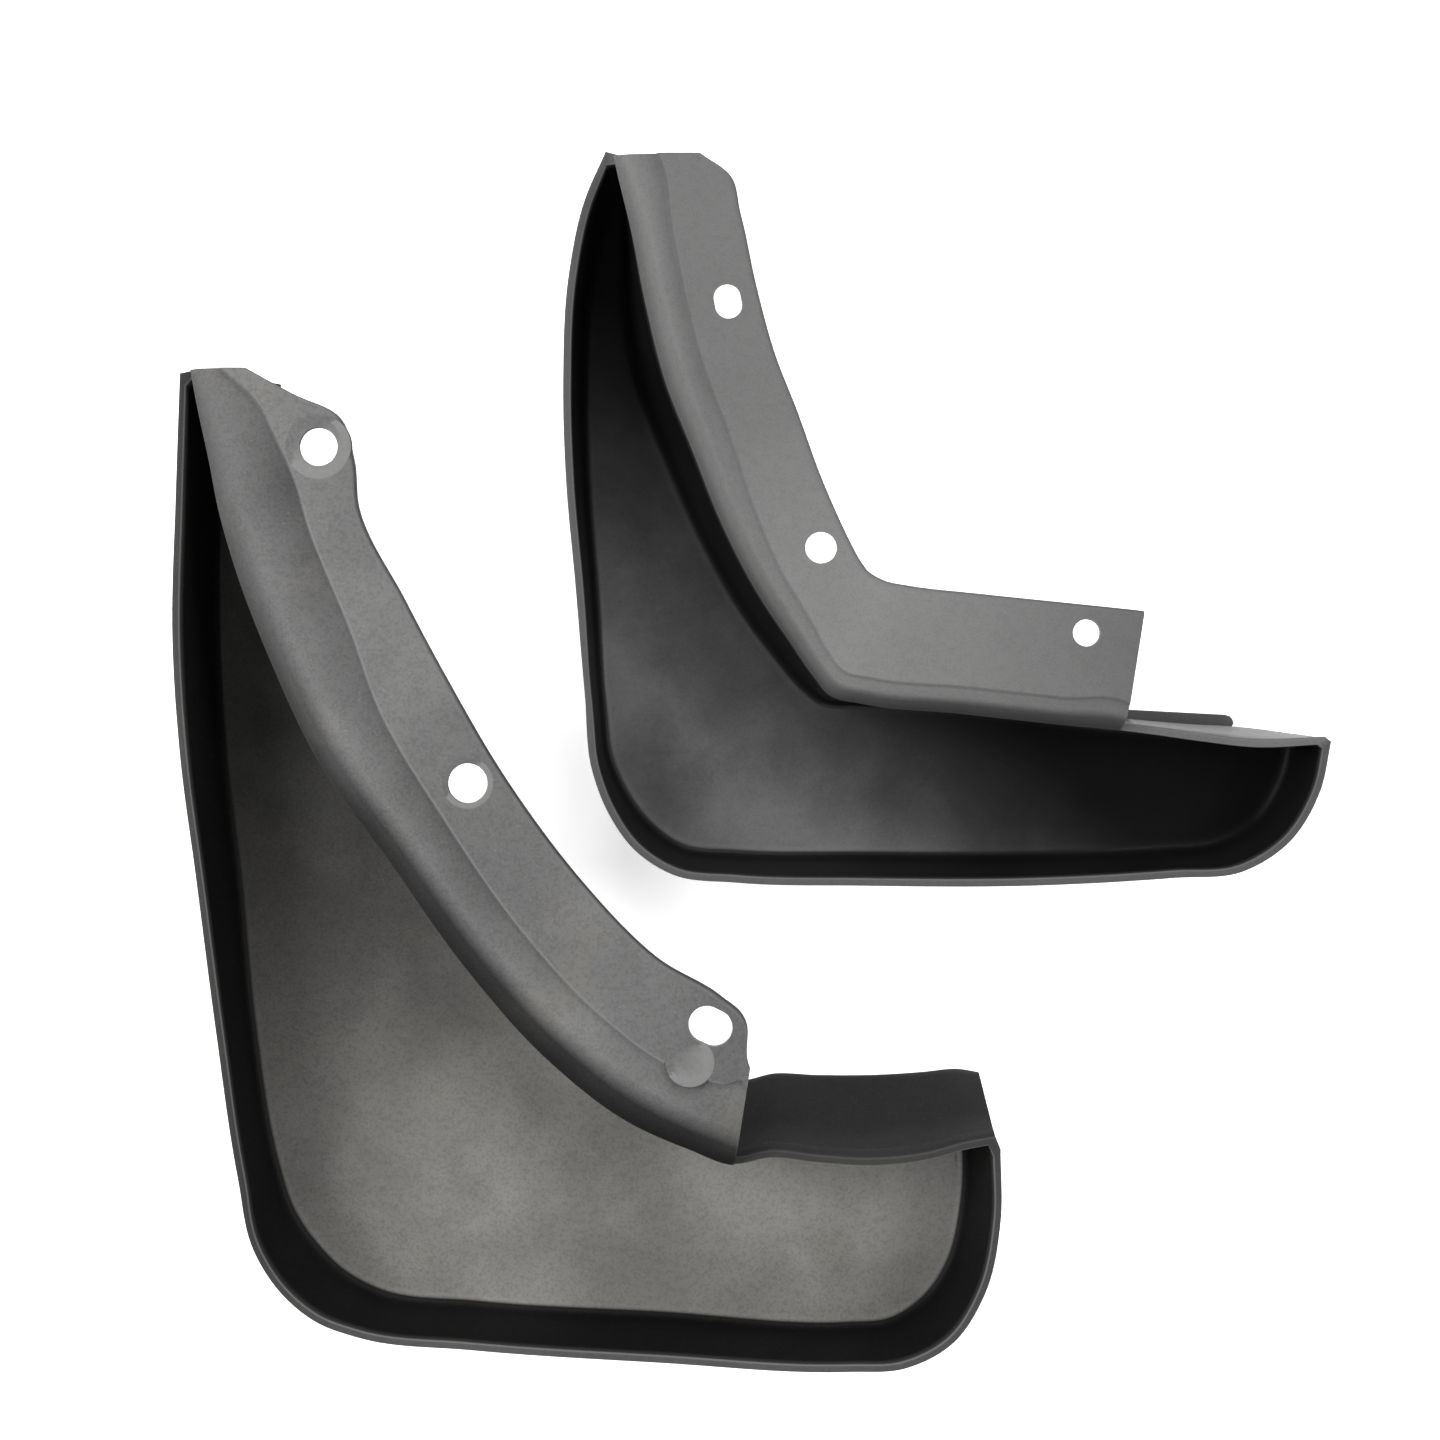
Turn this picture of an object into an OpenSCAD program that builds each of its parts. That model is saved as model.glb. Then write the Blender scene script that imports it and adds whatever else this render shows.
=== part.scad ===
// Pair of moulded mud flaps, one front and one rear, laid face down with their hollows up.
// Each flap is one moulding: a shallow tray that catches the spray, and a screw flange that
// springs from the top of its arch wall. Lengths are in millimetres.

/* [Wall] */
// thickness of the panel that faces the road
panel_t = 2.5; // [2:0.25:3.5]
// thickness of the walls round the tray, measured level
wall_t = 2.6; // [2.2:0.2:3.4]
// inside bend between panel and wall
bend_r = 4; // [3:0.5:5]
// bead standing out from the top of each wall
bead = 0.7; // [0.4:0.1:1]

/* [Flange] */
// thickness of the screw flange
flange_t = 2.5; // [2:0.25:3]
// how far the lip turns down at the flange's edge
lip = 4.5; // [3.5:0.5:6]
// step up from the inner band to the flat band
band_step = 1.5; // [1:0.25:2]
// how much the inner band climbs from the slope to the step
band_rise = 1; // [0.5:0.25:2]

/* [Front flap] */
// height of the flat band above the face
front_flange_z = 46; // [44:1:50]
// diameter of the upper screw hole
front_hole_1 = 12; // [8:0.5:12.5]
// diameter of the middle screw hole
front_hole_2 = 12.5; // [8:0.5:13]
// width of the slotted hole near the flange's end
front_slot_w = 11.5; // [8:0.5:12]
// length of the slotted hole
front_slot_l = 14; // [13:0.5:15]

/* [Rear flap] */
// height of the flat band above the face
rear_flange_z = 42; // [40:1:46]
// width of the slotted hole near the top
rear_slot_w = 8.5; // [6:0.5:9]
// length of the slotted hole
rear_slot_l = 11; // [10:0.5:12]
// diameter of the screw hole at the bend
rear_hole_2 = 10; // [6:0.5:11]
// diameter of the screw hole near the flange's end
rear_hole_3 = 8.5; // [6:0.5:10]

/* [Hidden] */
steps = 3;        // stations drawn between two rows of an outline
cut = 12;         // height of a hole's cutter
soft = 0.6;       // softening of a wall's top edge
pad_drop = 2.5;   // how far a pad reaches down into the flange
ledge_t = 2.5;    // thickness of the ledge at the foot of the rear wing

// Where each flap lies, so that the pair is centred over the origin.
front_at = [-53.5, -35];
rear_at = [62.5, 78];

// The road side of a tray, from the tip of its arch round to the end of its wing. A row holds
// the rim's outer edge, the inside foot of the wall, and the height of the rim.
front_road = [
    [-128.5, 159, -120, 153, 40], [-131, 121, -123, 117, 34], [-132.5, 75, -123.5, 73, 32],
    [-130, 37, -121.5, 35, 32], [-125, -1, -117, -3, 32], [-118.5, -51, -112.5, -51, 32],
    [-111.5, -98, -105, -96.5, 32], [-106.5, -121, -99, -114, 32],
    [-97.5, -135, -91.5, -125, 32], [-86.5, -144, -82.5, -134, 32], [-73, -149, -71, -140.5, 32],
    [-37, -153, -37, -145, 32], [23, -157, 23, -148.5, 32], [84.5, -160, 84, -152, 32],
    [102, -159, 99.5, -150.5, 32], [117.5, -151, 111.5, -142.5, 32],
    [128, -135, 120, -129.5, 32], [133, -112, 124.5, -108, 32], [133, -88.5, 125, -88, 32]
];
rear_road = [
    [-109.5, 117, -106, 110.5, 37], [-116.5, 102, -110.5, 100, 33],
    [-121.5, 80, -116, 79, 30], [-123.5, 44, -118.5, 44, 29], [-122.5, 12, -117.5, 12, 29],
    [-119.5, -21, -115, -21, 29], [-116.5, -56, -112.5, -58, 29],
    [-114, -81, -109.5, -79, 29], [-109, -94, -103.5, -91, 29],
    [-100.5, -106, -95.5, -100.5, 29], [-88, -114, -85.5, -107, 29],
    [-68, -116.5, -67, -109, 29], [-28, -117.5, -28, -109.5, 29], [27, -117.5, 27, -109.5, 29],
    [73, -115, 72, -107.5, 29], [95, -113, 91, -105.5, 29], [110, -103.5, 104.5, -98, 29],
    [120, -87, 113.5, -83.5, 29], [123.5, -71, 116.5, -71, 29]
];

// The arch side, from the same tip to the same end. A row holds the roll's inner edge, the
// flange's free edge (or, on the bare wing, a point to lean towards), the distance to the
// step, how far the wall's foot lies out from the roll, the height of the roll, and how
// wide the slope is that climbs from the roll to the inner band.
front_arch = [
    [-125, 160, -106.5, 160, 10, 24, 40, 4], [-123, 147, -92, 152, 19, 23, 37, 6],
    [-120, 132, -77.5, 145, 23, 22, 35.5, 7], [-117, 115.5, -72.5, 131, 27, 22, 34, 7],
    [-112.5, 99, -71, 116, 27.5, 22, 33, 7.5], [-100.5, 67, -56.5, 87, 28.5, 22, 32, 8],
    [-86, 36.5, -44, 63.5, 26, 22, 32, 8.5], [-63, 4, -25, 31, 23, 22, 32, 8.5],
    [-38, -31, -1, -1.5, 22.5, 22, 32, 9], [-11.5, -60.5, 23, -26, 23, 22, 32, 10],
    [14, -80, 43, -38, 23.5, 23, 32, 10.5], [33, -88.5, 51.5, -47, 24.5, 24, 32, 9.5],
    [47.5, -93.5, 52.5, -61, 26, 26, 32, 9], [59, -91.5, 60.5, -72, 0, 26, 32, 0],
    [74, -93, 75, -64, 0, 27, 32, 0], [91, -94, 92, -64, 0, 28, 32, 0],
    [110, -92, 110, -64, 0, 27, 32, 0], [121, -89, 120.5, -64, 0, 25, 32, 0],
    [131.5, -87, 128, -64, 0, 22, 32, 0]
];
rear_arch = [
    [-107, 115.5, -79, 115.5, 14, 9, 37, 5], [-105, 107, -70, 109, 14.5, 4, 34.5, 6],
    [-102, 95, -66.5, 97, 13, 0, 32, 6], [-97, 70, -61.5, 74, 12.5, -5, 30, 6],
    [-90.5, 44.5, -55.5, 52, 12.5, -6, 29, 6], [-82, 23, -48.5, 34, 12, -6, 29, 5.5],
    [-72, -2, -40.5, 12, 10.5, -4.5, 29, 5], [-60.5, -24, -32, -7, 9, -3.5, 29, 4.5],
    [-50.5, -39, -27.5, -15, 8.5, -2.5, 29, 4], [-43, -50, -24.5, -18, 8, -1, 29, 4],
    [-38, -56, -20.5, -20, 8, 1, 29, 4], [-27, -59, -13, -21.5, 8, 3.5, 29, 4],
    [3, -62, 9, -24, 8, 5.5, 29, 4], [35, -65.5, 38, -27, 8, 5.5, 29, 4],
    [55.5, -67.5, 61.5, -29.5, 8, 5, 29, 4], [67, -69, 72.5, -31, 0, 5.5, 29, 0],
    [81, -71, 84, -33, 0, 6.5, 29, 0], [99, -73, 99, -35, 0, 7.7, 29, 0],
    [121.5, -72, 119.5, -34, 0, 3, 29, 0]
];

// Rows of the arch that carry the flange.
front_flange_rows = 12;
rear_flange_rows = 14;

// Screw holes, each at a point of its own flap.
front_hole_at = [[-83.5, 135], [-36.5, 29], [40, -47.5]];
rear_hole_at = [[-70.5, 68.5], [-41, -9.5], [43, -36.5]];

function xy(r) = [r[0], r[1]];
function unit(v) = v / norm(v);
function chord(rows, i) = norm(xy(rows[i + 1]) - xy(rows[i]));

// Direction of a row-to-row curve at row i, per millimetre along it.
function slope(rows, i) =
    i == 0 ? (rows[1] - rows[0]) / chord(rows, 0)
    : i == len(rows) - 1 ? (rows[i] - rows[i - 1]) / chord(rows, i - 1)
    : let (a = chord(rows, i - 1), b = chord(rows, i))
      ((rows[i] - rows[i - 1]) * b / a + (rows[i + 1] - rows[i]) * a / b) / (a + b);

// A row part of the way along, on a smooth curve through all of them.
function row_at(rows, u) =
    let (i = min(floor(u), len(rows) - 2), f = u - i, d = chord(rows, i))
    rows[i] * (1 + 2 * f) * (1 - f) * (1 - f) + rows[i + 1] * f * f * (3 - 2 * f)
    + slope(rows, i) * d * f * (1 - f) * (1 - f) - slope(rows, i + 1) * d * f * f * (1 - f);

// The same, held short of both ends by one wall's thickness.
function inner_row_at(rows, u) =
    let (n = len(rows) - 1, a = wall_t / chord(rows, 0), b = wall_t / chord(rows, n - 1))
    row_at(rows, a + u * (n - a - b) / n);

// A wall is [top inner edge, run outwards per millimetre climbed, direction outwards, height].
function road_wall(r) =
    let (p = xy(r), q = [r[2], r[3]])
    [p - unit(p - q) * wall_t, (norm(p - q) - wall_t) / (r[4] - panel_t), unit(p - q), r[4]];
function arch_wall(r) = [xy(r), (wall_t - r[5]) / r[6], unit([r[2], r[3]] - xy(r)), r[6]];

// A point a step outwards from p, at height z.
function out(p, n, d, z) = [p[0] + n[0] * d, p[1] + n[1] * d, z];
// A point of a wall, d outwards from its inner face at height z.
function in_wall(w, d, z) = out(w[0], w[2], d + w[1] * (z - w[3]), z);
function bend(a, b, c, t) = a * (1 - t) * (1 - t) + b * 2 * t * (1 - t) + c * t * t;

// Inside of a wall, from the panel up to the rim; r is the bend's reach.
function wall_inside(w, r) =
    let (
        foot = in_wall(w, 0, panel_t), top = in_wall(w, 0, w[3] - soft),
        up = unit(top - foot), a = in_wall(w, -r, panel_t)
    )
    concat(
        [for (t = [0, 0.3, 0.65, 1]) bend(a, foot, foot + up * r, t)],
        [foot * 0.4 + top * 0.6, top, in_wall(w, soft, w[3])]
    );

// Outside of a wall, from the rim down to the face.
function wall_outside(w, r) =
    let (
        foot = in_wall(w, wall_t, 0), low = in_wall(w, wall_t - bead, w[3] - 4),
        up = unit(low - foot), a = in_wall(w, -r, 0)
    )
    concat(
        [in_wall(w, wall_t - soft, w[3])],
        [for (s = [soft, 3]) in_wall(w, wall_t, w[3] - s)],
        [low],
        [for (t = [1, 0.65, 0.3, 0]) bend(a, foot, foot + up * (r + panel_t), t)]
    );

// Upper and under sides of the flange across one row, as pairs: up the slope from the
// roll, over the inner band, up the step, and along the flat band to the turned-down lip.
function flange_pairs(r, zf) =
    let (
        p = xy(r), e = norm([r[2], r[3]] - p), n = unit([r[2], r[3]] - p),
        c = r[4], h = r[6], w = r[7], zc = zf - band_step, zb = zc - band_rise, rise = zb - h
    )
    [
        [out(p, n, 0.35 * w, h + 0.39 * rise), out(p, n, wall_t + 0.35 * w, h + 0.28 * rise)],
        [out(p, n, 0.7 * w, h + 0.78 * rise), out(p, n, wall_t + 0.68 * w, h + 0.62 * rise)],
        [out(p, n, 0.98 * w, h + 0.97 * rise), out(p, n, wall_t + 0.9 * w, zb - flange_t + 0.1)],
        [out(p, n, 1.3 * w, zb + 0.1), out(p, n, 1.3 * w + 1.5, zb + 0.1 - flange_t)],
        [out(p, n, c - 0.5, zc), out(p, n, c + 0.7, zc - flange_t)],
        [out(p, n, c + 1, zf), out(p, n, c + 2, zf - flange_t)],
        [out(p, n, e - 2, zf), out(p, n, e - 4.5, zf - flange_t)],
        [out(p, n, e - 0.6, zf - 0.5), out(p, n, e - 2.8, zf - flange_t)],
        [out(p, n, e, zf - 1.8), out(p, n, e - 2.2, zf - flange_t - 0.6)],
        [out(p, n, e, zf - lip), out(p, n, e - 2, zf - lip)]
    ];

// Two triangles for a four-cornered patch.
function patch(a, b, c, d) = [[c, b, a], [d, c, a]];

// The whole shell of one flap: ring of stations round the tray, with the flange let in
// between the two edges of the arch wall's rim.
module shell(road, arch, flange_rows, zf) {
    n = (len(road) - 1) * steps;      // stations on each side
    m = 15;                           // points round a wall
    // The bends are tighter in the narrow tip of the tray.
    function reach(u) = bend_r * min(1, 0.35 + 0.2 * u);
    nf = flange_rows * steps;         // stations along the flange
    walls = [for (i = [0:2 * n + 1])
        let (side = i <= n ? road : arch, u = (i <= n ? i : 2 * n + 1 - i) / steps)
        i <= n
            ? concat(wall_inside(road_wall(inner_row_at(side, u)), reach(u)),
                     wall_outside(road_wall(row_at(side, u)), reach(u)))
            : concat(wall_inside(arch_wall(inner_row_at(side, u)), reach(u)),
                     wall_outside(arch_wall(row_at(side, u)), reach(u)))];
    pairs = [for (i = [0:nf]) flange_pairs(row_at(arch, i / steps), zf)];
    points = concat(
        [for (w = walls) for (p = w) p],
        [for (q = pairs) for (p = q) for (s = p) s]
    );
    ring = 2 * n + 2;
    base = ring * m;
    // Numbers of the points: round the wall, and on the flange's top or underside.
    function wp(i, j) = (i % ring) * m + j;
    function fp(i, k, s) = k < 0 ? wp(2 * n + 1 - i, s == 0 ? 6 : 7) : base + (i * 10 + k) * 2 + s;
    faces = concat(
        [for (i = [0:ring - 1]) for (j = [0:m - 2])
            if (!(j == 6 && i >= 2 * n + 1 - nf && i <= 2 * n))
                each patch(wp(i, j), wp(i, j + 1), wp(i + 1, j + 1), wp(i + 1, j))],
        [for (i = [0:n - 1]) each patch(wp(i, 0), wp(i + 1, 0), wp(2 * n - i, 0), wp(2 * n + 1 - i, 0))],
        [for (i = [0:n - 1])
            each patch(wp(i + 1, m - 1), wp(i, m - 1), wp(2 * n + 1 - i, m - 1), wp(2 * n - i, m - 1))],
        [for (i = [0:nf - 1]) for (k = [-1:8])
            each concat(patch(fp(i + 1, k, 0), fp(i + 1, k + 1, 0), fp(i, k + 1, 0), fp(i, k, 0)),
                        patch(fp(i, k, 1), fp(i, k + 1, 1), fp(i + 1, k + 1, 1), fp(i + 1, k, 1)))],
        [for (i = [0:nf - 1]) each patch(fp(i, 9, 0), fp(i + 1, 9, 0), fp(i + 1, 9, 1), fp(i, 9, 1))],
        [for (k = [-1:8])
            each concat(patch(fp(0, k, 0), fp(0, k + 1, 0), fp(0, k + 1, 1), fp(0, k, 1)),
                        patch(fp(nf, k, 1), fp(nf, k + 1, 1), fp(nf, k + 1, 0), fp(nf, k, 0)))]
    );
    polyhedron(points, faces, 12);
}

// Flat round pad that carries the flat band over the step beside a hole.
module pad(at, r, z) {
    translate([at[0], at[1], z - pad_drop]) cylinder(r = r, h = pad_drop, $fn = 72);
}

module round_hole(at, d, z) {
    translate([at[0], at[1], z - cut / 2]) cylinder(d = d, h = cut, $fn = 72);
}

// Slot with round ends; turn is the angle of its long axis.
module slot_hole(at, w, l, turn, z) {
    translate([at[0], at[1], z - cut / 2]) rotate([0, 0, turn]) {
        for (x = [-1, 1]) translate([x * (l - w) / 2, 0, 0]) cylinder(d = w, h = cut, $fn = 72);
        translate([-(l - w) / 2, -w / 2, 0]) cube([l - w, w, cut]);
    }
}

module front_flap() {
    color("dimgray") translate([front_at[0], front_at[1], 0]) difference() {
        union() {
            shell(front_road, front_arch, front_flange_rows, front_flange_z);
            pad(front_hole_at[0], 10.5, front_flange_z);
            pad(front_hole_at[1], 10, front_flange_z);
            pad([33.5, -59], 8, front_flange_z);
        }
        round_hole(front_hole_at[0], front_hole_1, front_flange_z);
        round_hole(front_hole_at[1], front_hole_2, front_flange_z);
        slot_hole(front_hole_at[2], front_slot_w, front_slot_l, -25, front_flange_z);
    }
}

module rear_flap() {
    color("gray") translate([rear_at[0], rear_at[1], 0]) difference() {
        union() {
            shell(rear_road, rear_arch, rear_flange_rows, rear_flange_z);
            ledge();
        }
        slot_hole(rear_hole_at[0], rear_slot_w, rear_slot_l, 100, rear_flange_z);
        round_hole(rear_hole_at[1], rear_hole_2, rear_flange_z);
        round_hole(rear_hole_at[2], rear_hole_3, rear_flange_z);
    }
}

// Low ledge along the foot of the rear wing, which the wheel arch liner rests on.
module ledge() {
    linear_extrude(ledge_t) hull() {
        polygon([[56, -65.5], [56, -60.3], [90, -62.2], [97, -66.5]]);
        translate([94.5, -64.8]) circle(r = 2.4, $fn = 36);
    }
}

front_flap();
rear_flap();
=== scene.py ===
import bpy
import bmesh
import math
from mathutils import Matrix, Vector


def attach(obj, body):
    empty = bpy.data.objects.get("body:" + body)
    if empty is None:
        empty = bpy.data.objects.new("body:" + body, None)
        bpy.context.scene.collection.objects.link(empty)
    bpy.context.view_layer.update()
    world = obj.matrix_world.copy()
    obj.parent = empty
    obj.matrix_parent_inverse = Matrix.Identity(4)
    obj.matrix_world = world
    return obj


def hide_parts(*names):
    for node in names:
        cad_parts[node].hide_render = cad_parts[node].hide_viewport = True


mm = 0.001

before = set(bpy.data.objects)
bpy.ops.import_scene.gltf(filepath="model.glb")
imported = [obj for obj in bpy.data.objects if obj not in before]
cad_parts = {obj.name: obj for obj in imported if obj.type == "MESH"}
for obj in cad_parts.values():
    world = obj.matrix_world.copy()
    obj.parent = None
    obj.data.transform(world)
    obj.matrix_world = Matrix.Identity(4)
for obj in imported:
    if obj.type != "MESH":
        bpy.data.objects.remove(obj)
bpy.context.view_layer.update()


# Lengths are in millimetres. What both flaps share comes first.
moulding = {
    "panelT": 2.5,       # panel
    "wallT": 2.6,        # walls, measured level
    "bendR": 4.0,        # inside bend between panel and wall
    "bead": 0.7,         # bead standing out from the rim
    "beadDrop": 2.8,     # straight height of the bead below the rounding
    "rimRound": 0.6,     # rounding of the rim's two edges
    "flangeT": 2.5,
    "lip": 4.5,          # turned-down edge of the flange
    "lipT": 2.0,
    "lipRound": 1.8,     # bend of the flange into its lip
    "bandStep": 1.5,     # step up to the flat band
    "bandRise": 1.0,     # climb of the inner band
    "steps": 10,         # stations drawn between two rows
    "plainSheen": 0.04,   # faint painted sheen on outside and under faces
    "sharpFrom": 38,     # degrees between faces, above which an edge is drawn sharp
}

# A road row: rim's outer edge, inside foot of the wall, rim height.
# An arch row: roll's inner edge, flange's free edge, distance to the step, how far the wall's
# outer foot lies out from the roll, height of the roll, width of the slope beside it.
frontFlap = {
    "name": "frontMoulding",
    "node": "front_flap",
    "slot": "front_plastic",
    "at": (-53.5, -35.0),
    "flangeZ": 46.0,
    "flangeRows": 12,
    "road": [
        (-128.5, 159, -120, 153, 40), (-131, 121, -123, 117, 34),
        (-132.5, 75, -123.5, 73, 32), (-130, 37, -121.5, 35, 32),
        (-125, -1, -117, -3, 32), (-118.5, -51, -112.5, -51, 32),
        (-111.5, -98, -105, -96.5, 32), (-106.5, -121, -99, -114, 32),
        (-97.5, -135, -91.5, -125, 32), (-86.5, -144, -82.5, -134, 32),
        (-73, -149, -71, -140.5, 32), (-37, -153, -37, -145, 32),
        (23, -157, 23, -148.5, 32), (84.5, -160, 84, -152, 32),
        (102, -159, 99.5, -150.5, 32), (117.5, -151, 111.5, -142.5, 32),
        (128, -135, 120, -129.5, 32), (133, -112, 124.5, -108, 32),
        (133, -88.5, 125, -88, 32),
    ],
    "arch": [
        (-125, 160, -106.5, 160, 10, 24, 40, 4), (-123, 147, -92, 152, 19, 23, 37, 6),
        (-120, 132, -77.5, 145, 23, 22, 35.5, 7), (-117, 115.5, -72.5, 131, 27, 22, 34, 7),
        (-112.5, 99, -71, 116, 27.5, 22, 33, 7.5), (-100.5, 67, -56.5, 87, 28.5, 22, 32, 8),
        (-86, 36.5, -44, 63.5, 26, 22, 32, 8.5), (-63, 4, -25, 31, 23, 22, 32, 8.5),
        (-38, -31, -1, -1.5, 22.5, 22, 32, 9), (-11.5, -60.5, 23, -26, 23, 22, 32, 10),
        (14, -80, 43, -38, 23.5, 23, 32, 10.5), (33, -88.5, 51.5, -47, 24.5, 24, 32, 9.5),
        (47.5, -93.5, 52.5, -61, 26, 26, 32, 9), (59, -91.5, 60.5, -72, 0, 26, 32, 0),
        (74, -93, 75, -64, 0, 27, 32, 0), (91, -94, 92, -64, 0, 28, 32, 0),
        (110, -92, 110, -64, 0, 27, 32, 0), (121, -89, 120.5, -64, 0, 25, 32, 0),
        (131.5, -87, 128, -64, 0, 22, 32, 0),
    ],
    # hole: centre, width, length, turn of the long axis in degrees
    "holes": [(-83.5, 135, 12, 12, 0), (-36.5, 29, 12.5, 12.5, 0), (40, -47.5, 11.5, 14, -25)],
    # pad: centre, radius, how far it stands over the flat band
    "pads": [(-83.5, 135, 10.5, 0.12), (-36.5, 29, 8.4, 0.06), (33.5, -59, 8, 0.15)],
    # painted sheen and shade along the flange and rims, darker on slopes turned from the light, with a
    # painted highlight line at the step ("line"): (row, amount)
    "tones": {
        "edge": [(0, 0.65), (3, 0.5), (5, 0.4), (6, 0.22), (7.5, 0.15), (9, 0.06), (12, 0.06)],
        "slope": [(0, 0.75), (3, 0.6), (5, 0.55), (6, 0.38), (7.5, 0.22), (9, 0.12), (12, 0.14)],
        "knee": [(0, 0.75), (3, 0.7), (5, 0.9), (7, 0.95), (10, 0.9), (11, 0.8), (12, 0.6)],
        "inner": [(0, 0.75), (1.5, 0.6), (3, 0.36), (5, 0.62), (7, 0.62), (9, 0.85), (12, 0.8)],
        "flat": [(0, 1.0), (3, 0.92), (5, 0.98), (9, 0.85), (12, 0.7)],
        "line": [(0, 0.0), (2.5, 0.3), (4, 0.7), (8, 0.7), (11, 0.6), (12, 0.2)],
        "rim": [(0, 0.05), (3, 0.25), (6, 0.1), (9, 0.2), (11, 0.4), (15, 0.25), (18, 0.1)],
        "wingRim": 0.08,
        "wingFace": 0.04,
    },
}

rearFlap = {
    "name": "rearMoulding",
    "node": "rear_flap",
    "slot": "rear_plastic",
    "at": (62.5, 78.0),
    "flangeZ": 42.0,
    "flangeRows": 14,
    "road": [
        (-109.5, 117, -106, 110.5, 37), (-116.5, 102, -110.5, 100, 33),
        (-121.5, 80, -116, 79, 30), (-123.5, 44, -118.5, 44, 29),
        (-122.5, 12, -117.5, 12, 29), (-119.5, -21, -115, -21, 29),
        (-116.5, -56, -112.5, -58, 29), (-114, -81, -109.5, -79, 29),
        (-109, -94, -103.5, -91, 29), (-100.5, -106, -95.5, -100.5, 29),
        (-88, -114, -85.5, -107, 29), (-68, -116.5, -67, -109, 29),
        (-28, -117.5, -28, -109.5, 29), (27, -117.5, 27, -109.5, 29),
        (73, -115, 72, -107.5, 29), (95, -113, 91, -105.5, 29),
        (110, -103.5, 104.5, -98, 29), (120, -87, 113.5, -83.5, 29),
        (123.5, -71, 116.5, -71, 29),
    ],
    "arch": [
        (-107, 115.5, -79, 115.5, 14, 9, 37, 5), (-105, 107, -70, 109, 14.5, 4, 34.5, 6),
        (-102, 95, -66.5, 97, 13, 0, 32, 6), (-97, 70, -61.5, 74, 12.5, -5, 30, 6),
        (-90.5, 44.5, -55.5, 52, 12.5, -6, 29, 6), (-82, 23, -48.5, 34, 12, -6, 29, 5.5),
        (-72, -2, -40.5, 12, 10.5, -4.5, 29, 5), (-60.5, -24, -32, -7, 9, -3.5, 29, 4.5),
        (-50.5, -39, -27.5, -15, 8.5, -2.5, 29, 4), (-43, -50, -24.5, -18, 8, -1, 29, 4),
        (-38, -56, -20.5, -20, 8, 1, 29, 4), (-27, -59, -13, -21.5, 8, 3.5, 29, 4),
        (3, -62, 9, -24, 8, 5.5, 29, 4), (35, -65.5, 38, -27, 8, 5.5, 29, 4),
        (55.5, -67.5, 61.5, -29.5, 8, 5, 29, 4), (67, -69, 72.5, -31, 0, 5.5, 29, 0),
        (81, -71, 84, -33, 0, 6.5, 29, 0), (99, -73, 99, -35, 0, 7.7, 29, 0),
        (121.5, -72, 119.5, -34, 0, 3, 29, 0),
    ],
    "holes": [(-70.5, 68.5, 8.5, 11, 100), (-41, -9.5, 10, 10, 0), (43, -36.5, 8.5, 8.5, 0)],
    "pads": [],
    "ledge": [
        (56, -65.5), (92.5, -66.4), (94.5, -67), (96.2, -66.4), (97, -65.2), (96.6, -63.8),
        (95.6, -62.8), (94, -62.3), (92, -62.2), (56, -60.3),
    ],
    "ledgeT": 2.5,
    # painted sheen and shade as on the front flap; "wingRim" is a painted highlight on the wing's rim and
    # "wingFace" paints its outer face pale as a painted reflection
    "tones": {
        "edge": [(0, 0.75), (3, 0.65), (5, 0.6), (7, 0.4), (14, 0.3)],
        "slope": [(0, 0.9), (5, 0.95), (7, 0.8), (9, 0.7), (11, 0.5), (14, 0.4)],
        "knee": [(0, 0.8), (5, 0.7), (7, 0.85), (10, 0.9), (12, 0.85), (14, 0.65)],
        "inner": [(0, 0.6), (4, 0.62), (7, 0.85), (10, 0.98), (12, 0.95), (14, 0.65)],
        "flat": [(0, 0.72), (5, 0.74), (7, 0.95), (10, 1.0), (12, 0.9), (14, 0.62)],
        "line": [(0, 0.0), (4, 0.1), (7, 0.35), (11, 0.3), (13, 0.1), (14, 0.0)],
        "rim": [(0, 0.3), (3, 0.4), (12, 0.4), (18, 0.3)],
        "wingRim": 0.6,
        "wingFace": 1.0,
    },
}


# A flap's rows are joined by smooth curves, one curve for each column of its table.

def chord(rows, i):
    # straight distance from row i to the next
    return math.dist(rows[i][:2], rows[i + 1][:2])


def slopeAt(rows, i):
    # direction of the row curve at row i, per millimetre along it
    last = len(rows) - 1
    if i == 0:
        return (rows[1] - rows[0]) / chord(rows, 0)
    if i == last:
        return (rows[last] - rows[last - 1]) / chord(rows, last - 1)
    a = chord(rows, i - 1)
    b = chord(rows, i)
    return ((rows[i] - rows[i - 1]) * (b / a) + (rows[i + 1] - rows[i]) * (a / b)) / (a + b)


def rowAt(rows, u):
    # the row at place u, where whole numbers are the table's own rows
    i = min(int(u), len(rows) - 2)
    f = u - i
    d = chord(rows, i)
    g = 1 - f
    return (rows[i] * ((1 + 2 * f) * g * g) + rows[i + 1] * (f * f * (3 - 2 * f))
            + slopeAt(rows, i) * (d * f * g * g) - slopeAt(rows, i + 1) * (d * f * f * g))


def innerRowAt(rows, u):
    # the same, held short of both ends by one wall's thickness
    n = len(rows) - 1
    a = moulding["wallT"] / chord(rows, 0)
    b = moulding["wallT"] / chord(rows, n - 1)
    return rowAt(rows, a + u * (n - a - b) / n)


def roadWall(r):
    # top inner edge, run outwards per millimetre climbed, direction outwards, height
    p = Vector((r[0], r[1]))
    q = Vector((r[2], r[3]))
    n = (p - q).normalized()
    run = ((p - q).length - moulding["wallT"]) / (r[4] - moulding["panelT"])
    return p - n * moulding["wallT"], run, n, r[4]


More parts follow.
